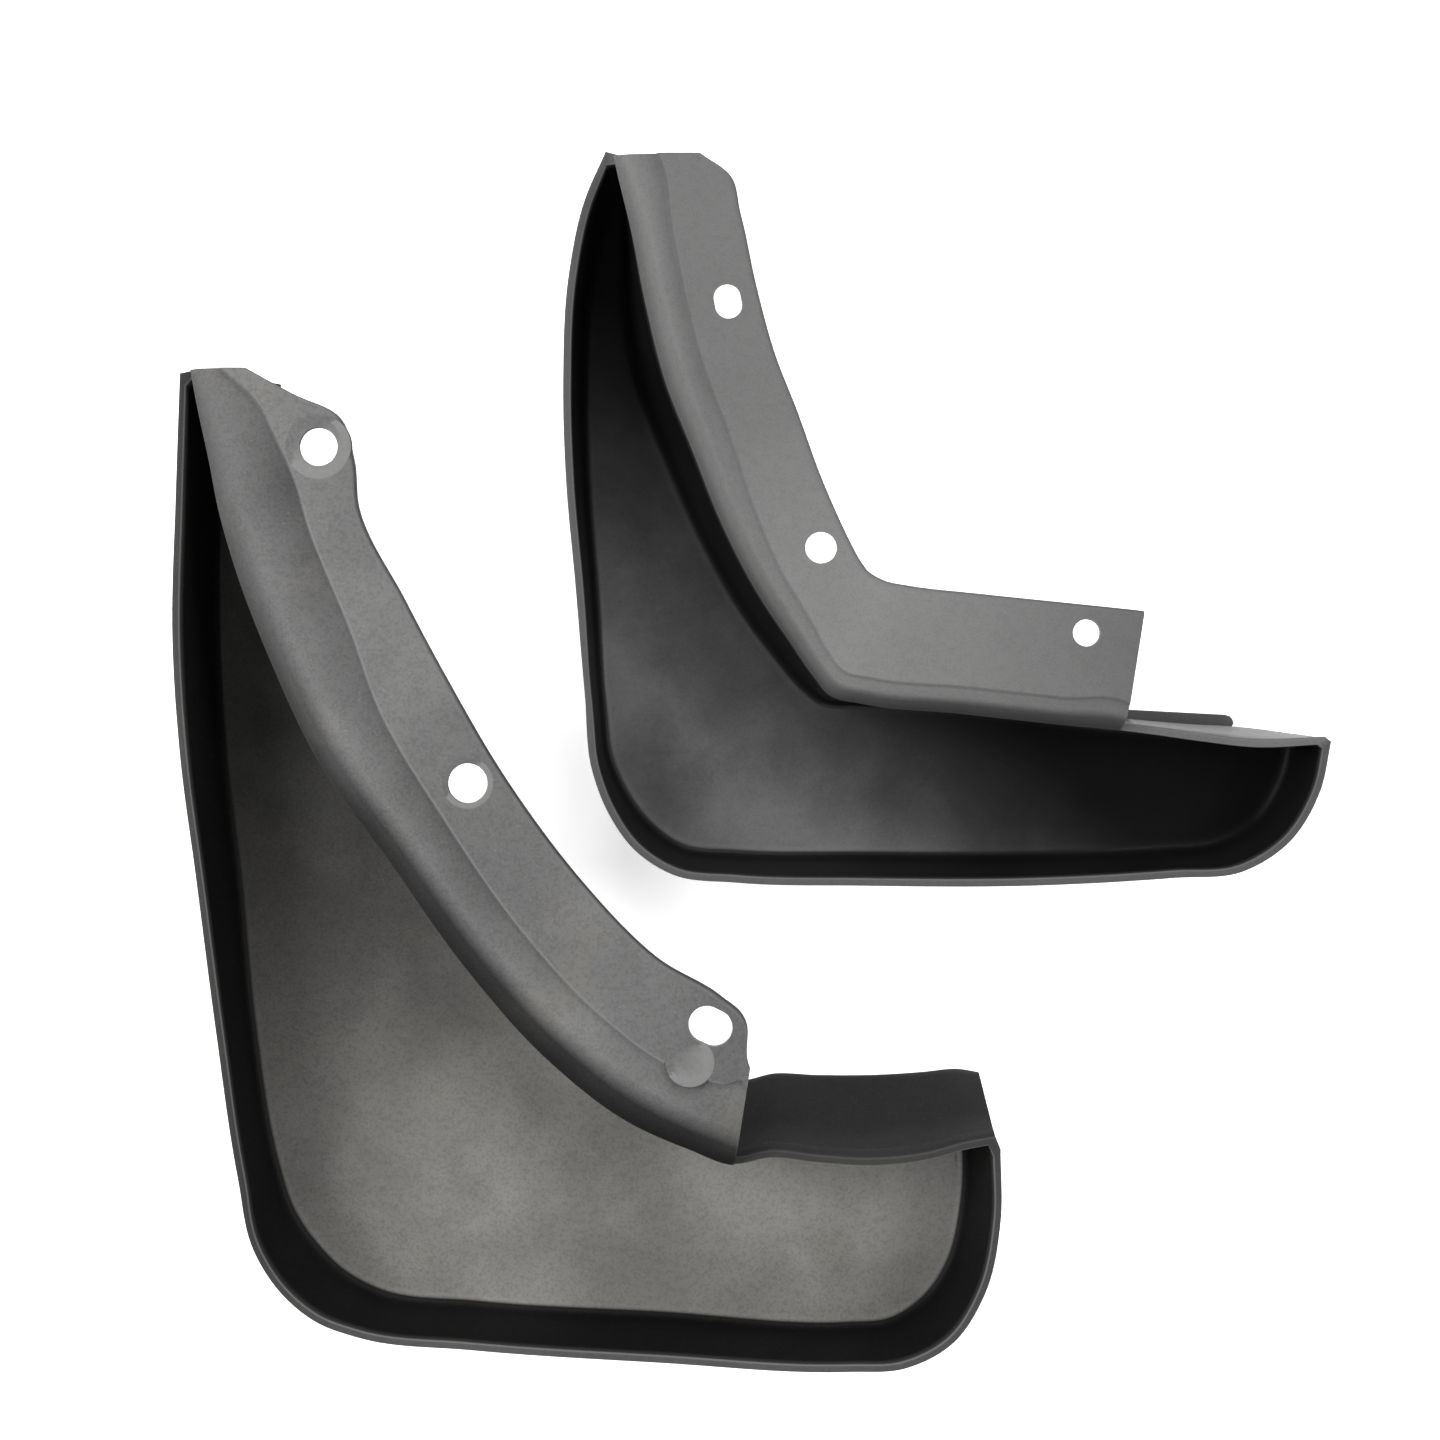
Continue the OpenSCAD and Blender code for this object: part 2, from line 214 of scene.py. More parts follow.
def archWall(r):
    # the same for a wall under the flange or along the wing
    p = Vector((r[0], r[1]))
    n = (Vector((r[2], r[3])) - p).normalized()
    return p, (moulding["wallT"] - r[5]) / r[6], n, r[6]


def out(p, n, d, z):
    # the point at distance d from p in direction n, at height z
    return Vector((p[0] + n[0] * d, p[1] + n[1] * d, z))


def quad(a, b, c, t):
    # curve from a to c that is pulled towards b
    return a * ((1 - t) * (1 - t)) + b * (2 * t * (1 - t)) + c * (t * t)


def spread(n):
    # n even steps from 0 to 1
    return [k / (n - 1) for k in range(n)]


# Every point of a section is (place, sheen, highlight): the first number is how much painted sheen it
# carries, lower where shade is painted, and the second is how much painted highlight it carries.

def inWall(w, d, z):
    # the point d outwards of a wall's inner face, at height z
    top, run, n, h = w
    return out(top, n, d + run * (z - h), z)


def toned(points, sheenLevel=0.0, paintedHighlight=0.0):
    return [(p, sheenLevel, paintedHighlight) for p in points]


def wallInside(w, r, rim):
    # inner face of a wall, from the panel up to the top of its rim
    s = moulding
    h = w[3]
    k = s["rimRound"]
    foot = inWall(w, 0, s["panelT"])
    head = inWall(w, 0, h - k)
    up = (head - foot).normalized()
    start = inWall(w, -r, s["panelT"])
    pts = toned([inWall(w, -r - 0.2, s["panelT"])])
    pts += toned([quad(start, foot, foot + up * r, t) for t in spread(8)])
    pts += toned([foot.lerp(head, t) for t in (0.35, 0.6, 0.9)])
    # the rim's top takes painted sheen and a painted highlight along its edges
    pts += [(head, 0.1, 0.1), (inWall(w, 0.08, h - 0.3), 0.5 * rim, 0.5)]
    pts += [(inWall(w, 0.25, h - 0.08), rim, 0.5), (inWall(w, k, h), rim, 0.1)]
    return pts


def wallOutside(w, r, rim, face):
    # outer face of a wall, from its rim down past the bead and round to the show face
    s = moulding
    h = w[3]
    k = s["rimRound"]
    t0 = s["wallT"]
    drop = s["beadDrop"]
    plain = s["plainSheen"]
    foot = inWall(w, t0, 0)
    low = inWall(w, t0 - s["bead"], h - drop - 1)
    up = (low - foot).normalized()
    start = inWall(w, -r, 0)
    # the rim's outer edge takes painted sheen and a painted highlight, the bead a little painted sheen, and
    # the face below the painted sheen given as face
    pts = [(inWall(w, t0 - k, h), rim, 0.1), (inWall(w, t0 - 0.25, h - 0.08), rim, 0.2)]
    pts += [(inWall(w, t0 - 0.08, h - 0.3), 0.6 * rim, 0.1)]
    pts += toned([inWall(w, t0, h - k), inWall(w, t0, h - drop)], 2 * plain)
    pts += toned([inWall(w, t0 - 0.2, h - drop - 0.5)], 2 * plain)
    pts += toned([inWall(w, t0 - s["bead"] + 0.1, h - drop - 0.85), low], plain)
    pts += toned([low.lerp(foot, t) for t in (0.3, 0.6)], face)
    pts += toned([quad(start, foot, foot + up * (r + s["panelT"]), 1 - t) for t in spread(8)], face)
    pts += toned([inWall(w, -r - 0.2, 0)], plain)
    return pts


def toneAt(table, u):
    # value of a table of (row, value) pairs at row u
    for (u0, a), (u1, b) in zip(table, table[1:]):
        if u <= u1:
            f = max(0.0, (u - u0) / (u1 - u0))
            return a + (b - a) * f
    return table[-1][1]


def flangeSection(r, zf, u, tones):
    # over the flange from the rolled edge to the lip, then back underneath
    s = moulding
    p = Vector((r[0], r[1]))
    e2 = Vector((r[2], r[3]))
    e = (e2 - p).length
    n = (e2 - p).normalized()
    c = r[4]
    h = r[6]
    w = r[7]
    zc = zf - s["bandStep"]
    zb = zc - s["bandRise"]
    rise = zb - h
    ft = s["flangeT"]
    wt = s["wallT"]
    lipFoot = zf - s["lip"]
    bend = s["lipRound"]
    edge = toneAt(tones["edge"], u)
    ramp = toneAt(tones["slope"], u)
    knee = toneAt(tones["knee"], u)
    inner = toneAt(tones["inner"], u)
    flat = toneAt(tones["flat"], u)
    line = toneAt(tones["line"], u)

    def at(d, z):
        return out(p, n, d, z)

    # painted sheen along the section: darker at the roll's edge and on the slope where shade is painted,
    # lighter at the knee as a painted highlight
    top = [(at(0.0, h + 0.3), edge, 0), (at(0.12 * w, h + 0.15 * rise), edge, 0)]
    top += [(at(0.35 * w, h + 0.4 * rise), (edge + ramp) / 2, 0), (at(0.55 * w, h + 0.62 * rise), ramp, 0)]
    kneeFrom = at(0.7 * w, h + 0.78 * rise)
    kneeAt = at(0.98 * w, h + 1.0 * rise)
    bandFrom = at(1.35 * w, zb + 0.1)
    bandEnd = at(c - 0.5, zc)
    for t in spread(7):
        top.append((quad(kneeFrom, kneeAt, bandFrom, t), ramp + (knee - ramp) * t, 0))
    for t in (0.3, 0.6, 0.85):
        top.append((bandFrom.lerp(bandEnd, t), knee + (inner - knee) * min(1, t * 1.3), 0))
    # the step up to the flat band carries a painted highlight line
    for t in spread(7):
        ease = t * t * (3 - 2 * t)
        peak = max(0.0, 1 - abs(t - 0.72) / 0.4)
        top.append((at(c - 0.5 + 1.5 * t, zc + (zf - zc) * ease), inner + (flat - inner) * t, line * peak))
    flatFrom = c + 1.2
    flatTo = e - 2
    top += toned([at(flatFrom + (flatTo - flatFrom) * t, zf) for t in (0.0, 0.33, 0.66, 1.0)], flat)
    # over the lip's turn the painted sheen fades into painted shade, with a painted highlight where the
    # turn starts
    for k in range(1, 6):
        a = math.radians(18 * k)
        turn = at(e - bend + bend * math.sin(a), zf - bend + bend * math.cos(a))
        top.append((turn, flat * (1 - 0.17 * k), 0.25 if k < 3 else 0))
    top += toned([at(e, lipFoot + 0.4), at(e - 0.12, lipFoot + 0.1), at(e - 0.4, lipFoot)], 0.05)

    inside = e - s["lipT"]
    under = [at(inside + 0.4, lipFoot), at(inside + 0.1, lipFoot + 0.15), at(inside, lipFoot + 0.5)]
    under += [at(e - 2.2, zf - ft - 0.6), at(e - 2.4, zf - ft - 0.15), at(e - 2.9, zf - ft)]
    under += [at(e - 4.5, zf - ft), at(c + 2.2, zf - ft), at(c + 1.4, zf - ft - 0.8)]
    under += [at(c + 0.7, zc - ft), at(1.3 * w + 1.5, zb + 0.1 - ft), at(wt + 0.9 * w, zb - ft + 0.1)]
    under += [at(wt + 0.68 * w, h + 0.62 * rise), at(wt + 0.35 * w, h + 0.28 * rise)]
    under += [at(wt + 0.05 * w, h + 0.1)]
    return top + toned(under, s["plainSheen"])


def setPoint(v, point, tone):
    v.co = point[0] * mm
    v[tone] = (point[1], point[2], 0, 1)


def loft(bm, lines, closed, tone):
    # the first line is a chain of edges, and each later one is extruded from it and laid in place
    here = [bm.verts.new(p[0] * mm) for p in lines[0]]
    for v, p in zip(here, lines[0]):
        setPoint(v, p, tone)
    first = here
    pairs = list(zip(here, here[1:] + here[:1] if closed else here[1:]))
    edges = [bm.edges.new(pair) for pair in pairs]
    for line in lines[1:]:
        grown = bmesh.ops.extrude_edge_only(bm, edges=edges)["geom"]
        new = {g for g in grown if isinstance(g, bmesh.types.BMVert)}
        fresh = {g for g in grown if isinstance(g, bmesh.types.BMEdge)}
        step = []
        for v in here:
            step.append(next(e.other_vert(v) for e in v.link_edges if e.other_vert(v) in new))
        for v, p in zip(step, line):
            setPoint(v, p, tone)
        edges = [e for e in fresh if e.verts[0] in new and e.verts[1] in new]
        here = step
    return first, here


def spanRing(bm, ring, n):
    # fills a ring by joining its road side to its arch side, station by station
    edges = []
    for a, b in list(zip(ring[:n], ring[1:n + 1])) + list(zip(ring[n + 1:-1], ring[n + 2:])):
        edges.append(bm.edges.get((a, b)))
    bmesh.ops.bridge_loops(bm, edges=edges)


def across(sections):
    # turns a list of sections into the lines that run along them
    return [list(line) for line in zip(*sections)]


def bendAt(u):
    # the bend at a wall's foot is tighter near the pointed end, where the two walls meet
    return moulding["bendR"] * min(1, 0.35 + 0.2 * u)


def shellMesh(flap):
    # tray and flange in one closed skin; the ring runs down the road side and back up the arch side
    steps = moulding["steps"]
    n = (len(flap["road"]) - 1) * steps
    nf = flap["flangeRows"] * steps
    road = [Vector(r) for r in flap["road"]]
    arch = [Vector(r) for r in flap["arch"]]
    plain = moulding["plainSheen"]
    inside = []
    outside = []
    for i in range(n + 1):
        u = i / steps
        r = bendAt(u)
        rim = toneAt(flap["tones"]["rim"], u)
        inside.append(wallInside(roadWall(innerRowAt(road, u)), r, rim))
        outside.append(wallOutside(roadWall(rowAt(road, u)), r, rim, plain))
    for i in range(n, -1, -1):
        u = i / steps
        r = bendAt(u)
        # the wing's rim and outer face take painted sheen from the tone table; on the rear flap the face is
        # painted pale as a painted reflection
        rim = flap["tones"]["wingRim"]
        face = flap["tones"]["wingFace"] if i > nf + 4 else plain
        inside.append(wallInside(archWall(innerRowAt(arch, u)), r, rim))
        outside.append(wallOutside(archWall(rowAt(arch, u)), r, rim, face))

    bm = bmesh.new()
    tone = bm.verts.layers.float_color.new("vertTone")
    spanRing(bm, loft(bm, across(inside), True, tone)[0], n)
    spanRing(bm, loft(bm, across(outside), True, tone)[1], n)
    # rim top, everywhere but under the flange: from the apex round to the flange's end
    ring = list(range(2 * n + 2))
    bare = [ring[-1]] + ring[:2 * n + 2 - nf]
    loft(bm, [[inside[i][-1] for i in bare], [outside[i][0] for i in bare]], False, tone)
    # flange, from the apex to its end
    strips = []
    for i in range(nf + 1):
        k = 2 * n + 1 - i
        section = flangeSection(rowAt(arch, i / steps), flap["flangeZ"], i / steps, flap["tones"])
        first = (inside[k][-1][0], section[0][1], 0)
        strips.append([first] + section + [outside[k][0]])
    loft(bm, across(strips), False, tone)
    bmesh.ops.remove_doubles(bm, verts=bm.verts, dist=0.00002)
    rims = [e for e in bm.edges if e.is_boundary]
    bmesh.ops.holes_fill(bm, edges=rims, sides=0)
    bmesh.ops.recalc_face_normals(bm, faces=bm.faces)
    tonesToCorners(bm)
    return bm


def tonesToCorners(bm):
    # corner colours come through a boolean whole
    tone = bm.verts.layers.float_color["vertTone"]
    corner = bm.loops.layers.float_color.new("tone")
    for f in bm.faces:
        for c in f.loops:
            c[corner] = c.vert[tone]
    bm.verts.layers.float_color.remove(tone)


def turned(bm, profile):
    # round plug: a disc pushed through a list of (radius, height)
    bmesh.ops.create_circle(bm, segments=72, radius=profile[0][0] * mm, cap_ends=True)
    face = bm.faces[:][0]
    bmesh.ops.translate(bm, verts=face.verts[:], vec=(0, 0, profile[0][1] * mm))
    for rad, z in profile[1:]:
        grown = bmesh.ops.extrude_face_region(bm, geom=[face])["geom"]
        for v in [g for g in grown if isinstance(g, bmesh.types.BMVert)]:
            flat = Vector((v.co.x, v.co.y)).normalized() * rad * mm
            v.co = Vector((flat.x, flat.y, z * mm))
        if face.is_valid:
            bm.faces.remove(face)
        face = next(g for g in grown if isinstance(g, bmesh.types.BMFace))
    bmesh.ops.holes_fill(bm, edges=[e for e in bm.edges if e.is_boundary], sides=0)
    bmesh.ops.recalc_face_normals(bm, faces=bm.faces[:])


def cutterFor(flap):
    # round and slotted plugs in one mesh, each with a small chamfer where it leaves the flange
    zf = flap["flangeZ"]
    every = bmesh.new()
    for x, y, width, length, turn in flap["holes"]:
        bm = bmesh.new()
        r = width / 2
        profile = [(r + 1.4, zf + 1.4), (r + 0.15, zf + 0.02), (r, zf - 0.4)]
        profile += [(r, zf - 2.2), (r + 0.2, zf - 2.5), (r + 1.0, zf - 3.5)]
        turned(bm, profile)
        half = (length - width) / 2 * mm
        for v in bm.verts:
            v.co.x += half if v.co.x > 0 else -half
        bmesh.ops.rotate(bm, verts=bm.verts, matrix=Matrix.Rotation(math.radians(turn), 3, "Z"))
        bmesh.ops.translate(bm, verts=bm.verts, vec=(x * mm, y * mm, 0))
        addTo(every, bm)
    return every


def addTo(every, bm):
    mesh = bpy.data.meshes.new("piece")
    bm.to_mesh(mesh)
    bm.free()
    every.from_mesh(mesh)
    bpy.data.meshes.remove(mesh)


def padMesh(pad, zf):
    # disc that carries the flat band over the step, with a softened edge
    x, y, r, lift = pad
    bm = bmesh.new()
    top = zf + lift
    profile = [(r, zf - 2.3), (r, top - 0.45), (r - 0.08, top - 0.22)]
    profile += [(r - 0.25, top - 0.07), (r - 0.55, top), (r - 2.0, top)]
    turned(bm, profile)
    # painted sheen on the pad's top and painted shade on its side, with a painted highlight along the edge
    # on one side only
    tone = bm.verts.layers.float_color.new("vertTone")
    for v in bm.verts:
        edge = abs(v.co.z / mm - top + 0.07) < 0.1
        side = v.co.x - v.co.y > -0.3 * r * mm
        v[tone] = (0.8 if v.co.z / mm > top - 0.15 else 0.1, 0.6 if edge and side else 0, 0, 1)
    tonesToCorners(bm)
    bmesh.ops.translate(bm, verts=bm.verts, vec=(x * mm, y * mm, 0))
    return bm


def ledgeMesh(flap):
    # low ledge along the foot of the wing, with a round end
    bm = bmesh.new()
    corners = [bm.verts.new(Vector((x, y, 0)) * mm) for x, y in flap["ledge"]]
    face = bm.faces.new(corners)
    grown = bmesh.ops.extrude_face_region(bm, geom=[face])["geom"]
    raised = [g for g in grown if isinstance(g, bmesh.types.BMVert)]
    bmesh.ops.translate(bm, verts=raised, vec=(0, 0, flap["ledgeT"] * mm))
    upper = [e for e in bm.edges if e.verts[0] in raised and e.verts[1] in raised]
    bmesh.ops.bevel(bm, geom=upper, offset=0.4 * mm, affect="EDGES", segments=3, profile=0.5, material=-1)
    bmesh.ops.recalc_face_normals(bm, faces=bm.faces[:])
    # an even painted sheen over the ledge
    tone = bm.verts.layers.float_color.new("vertTone")
    for v in bm.verts:
        v[tone] = (0.45, 0, 0, 1)
    tonesToCorners(bm)
    return bm


def objectFrom(bm, name):
    mesh = bpy.data.meshes.new(name)
    bm.to_mesh(mesh)
    bm.free()
    obj = bpy.data.objects.new(name, mesh)
    bpy.context.scene.collection.objects.link(obj)
    return obj


def cutHoles(obj, tool):
    # takes the plugs out of a part and keeps the result as its mesh
    mod = obj.modifiers.new("hole", "BOOLEAN")
    mod.object = tool
    mod.operation = "DIFFERENCE"
    mod.solver = "EXACT"
    deps = bpy.context.evaluated_depsgraph_get()
    cut = bpy.data.meshes.new_from_object(obj.evaluated_get(deps))
    obj.modifiers.clear()
    old = obj.data
    obj.data = cut
    bpy.data.meshes.remove(old)


def buildFlap(flap, finish):
    # tray, pads and ledge in one mesh, with the holes cut through
    tool = objectFrom(cutterFor(flap), "holeTool")
    parts = [objectFrom(shellMesh(flap), flap["name"])]
    for pad in flap["pads"]:
        parts.append(objectFrom(padMesh(pad, flap["flangeZ"]), "pad"))
    for part in parts:
        cutHoles(part, tool)
    if "ledge" in flap:
        parts.append(objectFrom(ledgeMesh(flap), "ledge"))
    bm = bmesh.new()
    for part in parts:
        bm.from_mesh(part.data)
    bmesh.ops.translate(bm, verts=bm.verts, vec=(flap["at"][0] * mm, flap["at"][1] * mm, 0))
    for f in bm.faces:
        f.smooth = True
    piece = parts[0]
    bm.to_mesh(piece.data)
    bm.free()
    for part in parts[1:] + [tool]:
        bpy.data.objects.remove(part)
    piece.data.set_sharp_from_angle(angle=math.radians(moulding["sharpFrom"]))
    piece.data.materials.clear()
    piece.data.materials.append(finish)
    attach(piece, "root")
    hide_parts(flap["node"])
    print(flap["name"], "faces", len(piece.data.polygons))


def newGroup(name, ins, outs):
    # an empty node group with its sockets: (label, kind, value) in, (label, kind) out
    g = bpy.data.node_groups.new(name, "ShaderNodeTree")
    for label, kind, value in ins:
        sock = g.interface.new_socket(label, in_out="INPUT", socket_type="NodeSocket" + kind)
        if value is not None:
            sock.default_value = value
    for label, kind in outs:
        g.interface.new_socket(label, in_out="OUTPUT", socket_type="NodeSocket" + kind)
    return g, g.nodes.new("NodeGroupInput"), g.nodes.new("NodeGroupOutput")


def add(tree, kind, **values):
    node = tree.nodes.new(kind)
    for key, value in values.items():
        setattr(node, key, value)
    return node


def noise(tree, coords, scale, detail=4.0, rough=0.55, distort=0.0):
    node = add(tree, "ShaderNodeTexNoise")
    node.inputs["Scale"].default_value = scale
    node.inputs["Detail"].default_value = detail
    node.inputs["Roughness"].default_value = rough
    node.inputs["Distortion"].default_value = distort
    tree.links.new(coords, node.inputs["Vector"])
    return node.outputs["Fac"]


def remap(tree, value, low, high, toLow=0.0, toHigh=1.0):
    node = add(tree, "ShaderNodeMapRange", interpolation_type="SMOOTHSTEP")
    node.inputs["From Min"].default_value = low
    node.inputs["From Max"].default_value = high
    node.inputs["To Min"].default_value = toLow
    node.inputs["To Max"].default_value = toHigh
    tree.links.new(value, node.inputs["Value"])
    return node.outputs["Result"]


def maths(tree, op, a, b=None):
    node = add(tree, "ShaderNodeMath", operation=op)
    for i, v in enumerate((a, b)):
        if v is None:
            continue
        if isinstance(v, (int, float)):
            node.inputs[i].default_value = v
        else:
            tree.links.new(v, node.inputs[i])
    return node.outputs[0]


def blendColour(tree, fac, a, b):
    node = add(tree, "ShaderNodeMix", data_type="RGBA")
    for sock, v in ((node.inputs[0], fac), (node.inputs[6], a), (node.inputs[7], b)):
        if isinstance(v, (int, float, tuple)):
            sock.default_value = v
        else:
            tree.links.new(v, sock)
    return node.outputs[2]


def grainGroup():
    # fine moulded grain: height for a bump, and a speckle mask
    g, gin, gout = newGroup("mouldGrain", [("Coords", "Vector", None), ("Size", "Float", 900.0)],
                            [("Height", "Float"), ("Speckle", "Float")])
    fine = add(g, "ShaderNodeTexNoise")
    fine.inputs["Detail"].default_value = 3.0
    g.links.new(gin.outputs["Coords"], fine.inputs["Vector"])
    g.links.new(gin.outputs["Size"], fine.inputs["Scale"])
    broad = noise(g, gin.outputs["Coords"], 420.0, 4.0, 0.6)
    fineShare = maths(g, "MULTIPLY", fine.outputs["Fac"], 0.6)
    broadShare = maths(g, "MULTIPLY", broad, 0.4)
    g.links.new(maths(g, "ADD", fineShare, broadShare), gout.inputs["Height"])
    dots = noise(g, gin.outputs["Coords"], 1300.0, 2.0, 0.7)
    g.links.new(remap(g, dots, 0.62, 0.74), gout.inputs["Speckle"])
    return g


def hazeGroup():
    # cloudy bloom left by the mould and by handling
    g, gin, gout = newGroup("handlingHaze", [("Coords", "Vector", None)],
                            [("Haze", "Float"), ("Stain", "Float")])
    wide = noise(g, gin.outputs["Coords"], 8.0, 3.0, 0.5, 0.4)
    near = noise(g, gin.outputs["Coords"], 42.0, 5.0, 0.6, 0.3)
    both = maths(g, "ADD", maths(g, "MULTIPLY", wide, 0.78), maths(g, "MULTIPLY", near, 0.22))
    g.links.new(remap(g, both, 0.36, 0.66), gout.inputs["Haze"])
    stain = noise(g, gin.outputs["Coords"], 26.0, 3.0, 0.5, 1.2)
    g.links.new(remap(g, stain, 0.52, 0.72), gout.inputs["Stain"])
    return g


def edgeGroup():
    # thin light line where an edge is sharp: partly real wear, partly painted highlight
    g, gin, gout = newGroup("edgeWearAndHighlight", [("Coords", "Vector", None), ("Reach", "Float", 0.0006)],
                            [("WearAndHighlight", "Float")])
    bevel = add(g, "ShaderNodeBevel", samples=4)
    g.links.new(gin.outputs["Reach"], bevel.inputs["Radius"])
    geo = add(g, "ShaderNodeNewGeometry")
    dot = add(g, "ShaderNodeVectorMath", operation="DOT_PRODUCT")
    g.links.new(bevel.outputs["Normal"], dot.inputs[0])
    g.links.new(geo.outputs["Normal"], dot.inputs[1])
    edge = remap(g, dot.outputs["Value"], 0.985, 0.9)
    patch = remap(g, noise(g, gin.outputs["Coords"], 90.0, 3.0), 0.35, 0.65)
    g.links.new(maths(g, "MULTIPLY", edge, patch), gout.inputs["WearAndHighlight"])
    return g


grainNodes = grainGroup()
hazeNodes = hazeGroup()
wearHighlightNodes = edgeGroup()
print("shader groups ready")


def use(tree, group, coords, **values):
    node = add(tree, "ShaderNodeGroup", node_tree=group)
    tree.links.new(coords, node.inputs["Coords"])
    for key, value in values.items():
        node.inputs[key].default_value = value
    return node


# In metres: strip beside an edge that is worn and carries a painted highlight, depth of the grain, and the
# heights between which the panel's painted reflection comes in, just over the panel's 2.5 mm.
surface = {
    "wearHighlightReach": 0.0006,
    "bumpDepth": 0.0002,
    "reflectionTop": 0.0045,
    "reflectionFull": 0.0026,
}


def clouded(tree, cloud, depth):
    # factor that stays near 1 on average and drops where the cloud is thin
    return maths(tree, "ADD", maths(tree, "MULTIPLY", cloud.outputs["Haze"], depth), 1 - depth * 0.6)


def plastic(name, look):
    # dark plastic with painted sheen, shade, reflection and highlights, which follow the tone attribute and
    # the panel
    mat = bpy.data.materials.new(name)
    mat.use_nodes = True
    tree = mat.node_tree
    tree.nodes.clear()
    shader = add(tree, "ShaderNodeBsdfPrincipled")
    output = add(tree, "ShaderNodeOutputMaterial")
    tree.links.new(shader.outputs[0], output.inputs[0])
    coords = add(tree, "ShaderNodeTexCoord").outputs["Object"]
    split = add(tree, "ShaderNodeSeparateXYZ")
    tree.links.new(coords, split.inputs[0])
    tone = add(tree, "ShaderNodeAttribute", attribute_type="GEOMETRY", attribute_name="tone")
    tones = add(tree, "ShaderNodeSeparateColor")
    tree.links.new(tone.outputs["Color"], tones.inputs[0])

    fine = use(tree, grainNodes, coords, Size=look["grainSize"])
    cloud = use(tree, hazeNodes, coords)
    edgeWearHighlight = use(tree, wearHighlightNodes, coords, Reach=surface["wearHighlightReach"])

    # painted reflection on the panel, lighter across the tray and with painted shade near the flange
    normal = add(tree, "ShaderNodeNewGeometry").outputs["Normal"]
    facing = add(tree, "ShaderNodeSeparateXYZ")
    tree.links.new(normal, facing.inputs[0])
    low = remap(tree, split.outputs["Z"], surface["reflectionTop"], surface["reflectionFull"])
    level = remap(tree, facing.outputs["Z"], 0.9, 0.995)
    alongX = maths(tree, "MULTIPLY", split.outputs["X"], look["sweep"][0])
    alongY = maths(tree, "MULTIPLY", split.outputs["Y"], look["sweep"][1])
    sweep = remap(tree, maths(tree, "ADD", alongX, alongY), *look["sweepRange"], *look["sweepTo"])
    onPanel = maths(tree, "MULTIPLY", low, level)
    swept = maths(tree, "MULTIPLY", sweep, clouded(tree, cloud, look["cloud"]))
    panel = maths(tree, "MULTIPLY", onPanel, swept)
    # painted sheen and painted shade on the flange and rims, from the tone attribute's first channel
    band = maths(tree, "MULTIPLY", tones.outputs[0], clouded(tree, cloud, look["bandCloud"]))

    colour = blendColour(tree, cloud.outputs["Haze"], look["dark"], look["mid"])
    colour = blendColour(tree, panel, colour, look["panel"])
    colour = blendColour(tree, band, colour, look["band"])
    stained = maths(tree, "MULTIPLY", cloud.outputs["Stain"], maths(tree, "ADD", band, panel))
    colour = blendColour(tree, maths(tree, "MULTIPLY", stained, look["stain"]), colour, look["stainColour"])
    pits = remap(tree, fine.outputs["Height"], 0.38, 0.56, look["grainDark"], 0.0)
    colour = blendColour(tree, pits, colour, look["dark"])
    # dust specks are denser where the painted sheen and painted reflection are
    speckleBySheen = maths(tree, "ADD", maths(tree, "ADD", band, panel), 0.15)
    speckled = maths(tree, "MULTIPLY", fine.outputs["Speckle"], speckleBySheen)
    colour = blendColour(tree, maths(tree, "MULTIPLY", speckled, look["speckle"]), colour, look["speckleWearHighlight"])
    # painted highlight lines from the tone attribute's second channel, with the worn edges
    highlightMask = maths(tree, "MULTIPLY", tones.outputs[1], look["paintedHighlight"])
    edgeWearLit = maths(tree, "MULTIPLY", edgeWearHighlight.outputs["WearAndHighlight"], look["wearAndHighlight"])
    colour = blendColour(tree, maths(tree, "MAXIMUM", highlightMask, edgeWearLit), colour, look["speckleWearHighlight"])
    tree.links.new(colour, shader.inputs["Base Color"])

    # roughness rises with the painted sheen and painted reflection
    sheenShare = maths(tree, "MAXIMUM", band, panel)
    rough = remap(tree, sheenShare, 0.0, 1.0, *look["rough"])
    tree.links.new(rough, shader.inputs["Roughness"])
    shader.inputs["Specular IOR Level"].default_value = look["specular"]
    bump = add(tree, "ShaderNodeBump")
    bump.inputs["Strength"].default_value = look["bump"]
    bump.inputs["Distance"].default_value = surface["bumpDepth"]
    tree.links.new(fine.outputs["Height"], bump.inputs["Height"])
    tree.links.new(bump.outputs["Normal"], shader.inputs["Normal"])
    return mat


# panel and band colour the painted reflection and painted sheen; speckleWearHighlight colours the dust
# specks, the painted highlights and the worn edges
frontLook = {
    "dark": (0.002, 0.002, 0.002, 1), "mid": (0.005, 0.005, 0.005, 1),
    "panel": (0.165, 0.162, 0.154, 1), "band": (0.105, 0.105, 0.104, 1),
    "speckleWearHighlight": (0.2, 0.2, 0.198, 1), "stainColour": (0.105, 0.098, 0.08, 1),
    "cloud": 0.6, "bandCloud": 0.35, "stain": 0.3, "speckle": 0.3,
    "paintedHighlight": 0.6, "wearAndHighlight": 0.12, "grainDark": 0.18,
    "sweep": (0.45, -0.89), "sweepRange": (-0.11, 0.15), "sweepTo": (0.08, 1.0),
    "grainSize": 1100.0, "rough": (0.5, 0.62), "specular": 0.06, "bump": 0.5,
}

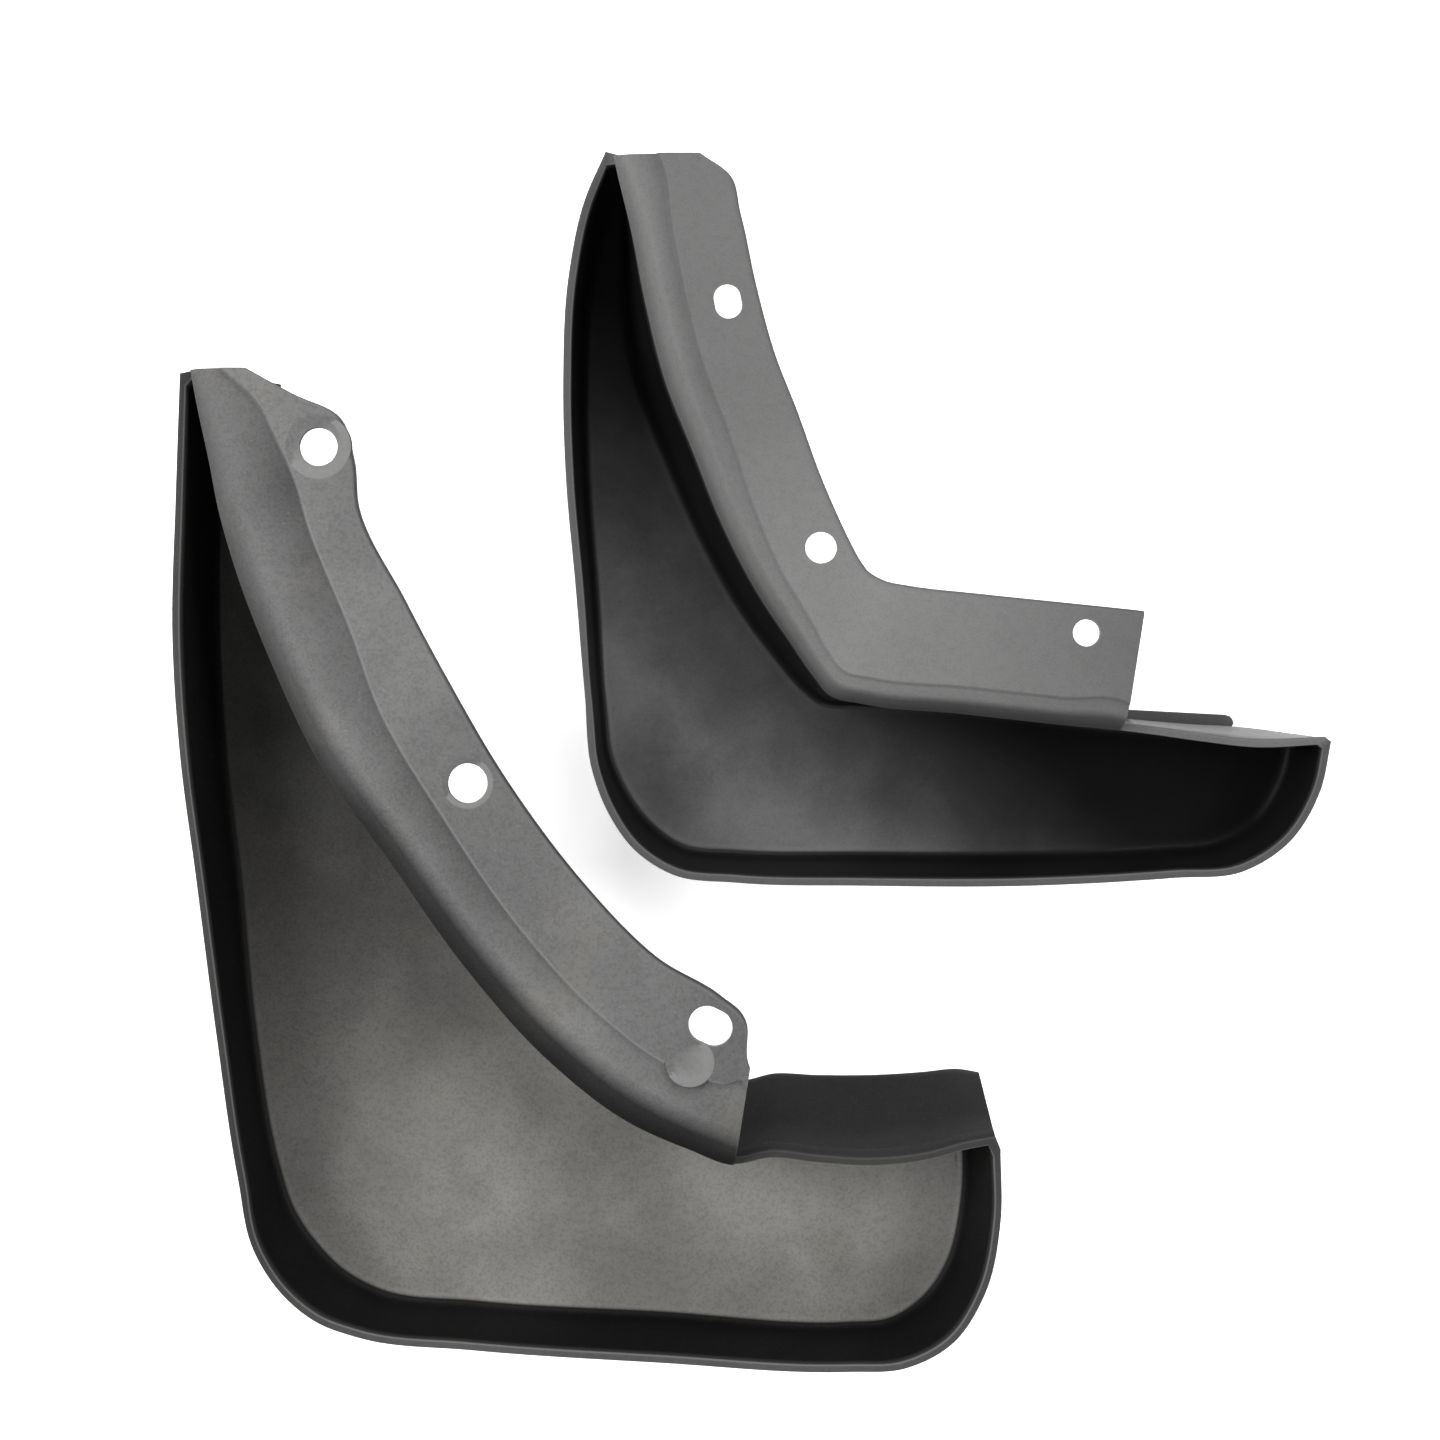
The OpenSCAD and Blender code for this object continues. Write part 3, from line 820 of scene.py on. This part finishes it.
rearLook = {
    "dark": (0.002, 0.002, 0.0021, 1), "mid": (0.004, 0.004, 0.0042, 1),
    "panel": (0.085, 0.085, 0.087, 1), "band": (0.115, 0.115, 0.114, 1),
    "speckleWearHighlight": (0.16, 0.16, 0.16, 1), "stainColour": (0.1, 0.097, 0.09, 1),
    "cloud": 0.8, "bandCloud": 0.1, "stain": 0.12, "speckle": 0.15,
    "paintedHighlight": 0.4, "wearAndHighlight": 0.2, "grainDark": 0.12,
    "sweep": (-0.7, -0.7), "sweepRange": (-0.075, 0.015), "sweepTo": (0.0, 0.95),
    "grainSize": 1500.0, "rough": (0.42, 0.5), "specular": 0.07, "bump": 0.12,
}

buildFlap(frontFlap, plastic("frontPlastic", frontLook))
buildFlap(rearFlap, plastic("rearPlastic", rearLook))


studio = {
    "axis": (-0.0105, 0.0139),   # where the camera looks straight down
    "height": 0.912,
    "lens": 68.75,
    "floorGrey": 0.86,
    "floorGlow": 0.65,
    "air": 0.25,
    # light: name, place, width and height, power
    "lights": [
        ("leftBox", (-1.7, 0.3, 1.3), (1.4, 1.0), 62),
        ("rightBox", (1.7, 0.4, 1.3), (1.4, 1.0), 44),
        ("farBox", (0.2, 1.8, 1.2), (1.6, 0.9), 46),
        ("nearBox", (-0.2, -1.8, 1.2), (1.6, 0.9), 34),
    ],
}


def makeFloor():
    bm = bmesh.new()
    bmesh.ops.create_grid(bm, x_segments=2, y_segments=2, size=3.0)
    floor = objectFrom(bm, "floor")
    mat = bpy.data.materials.new("paleFloor")
    mat.use_nodes = True
    shader = mat.node_tree.nodes["Principled BSDF"]
    grey = studio["floorGrey"]
    shader.inputs["Base Color"].default_value = (grey, grey, grey, 1)
    shader.inputs["Roughness"].default_value = 0.9
    shader.inputs["Emission Color"].default_value = (1, 1, 1, 1)
    shader.inputs["Emission Strength"].default_value = studio["floorGlow"]
    floor.data.materials.append(mat)


def softBox(name, place, size, power):
    # large soft light turned to the middle of the floor
    lamp = bpy.data.lights.new(name, "AREA")
    lamp.shape = "RECTANGLE"
    lamp.size = size[0]
    lamp.size_y = size[1]
    lamp.energy = power
    obj = bpy.data.objects.new(name, lamp)
    obj.location = place
    obj.rotation_euler = (-Vector(place)).to_track_quat("-Z", "Y").to_euler()
    bpy.context.scene.collection.objects.link(obj)


makeFloor()
for name, place, size, power in studio["lights"]:
    softBox(name, place, size, power)

world = bpy.data.worlds.new("studioAir")
world.use_nodes = True
world.node_tree.nodes["Background"].inputs[0].default_value = (1, 1, 1, 1)
world.node_tree.nodes["Background"].inputs[1].default_value = studio["air"]
bpy.context.scene.world = world
bpy.context.scene.view_settings.view_transform = "Standard"

camData = bpy.data.cameras.new("camera")
camData.lens = studio["lens"]
camData.sensor_width = 36
camera = bpy.data.objects.new("camera", camData)
camera.location = (studio["axis"][0], studio["axis"][1], studio["height"])
bpy.context.scene.collection.objects.link(camera)
bpy.context.scene.camera = camera

print("scene ready")
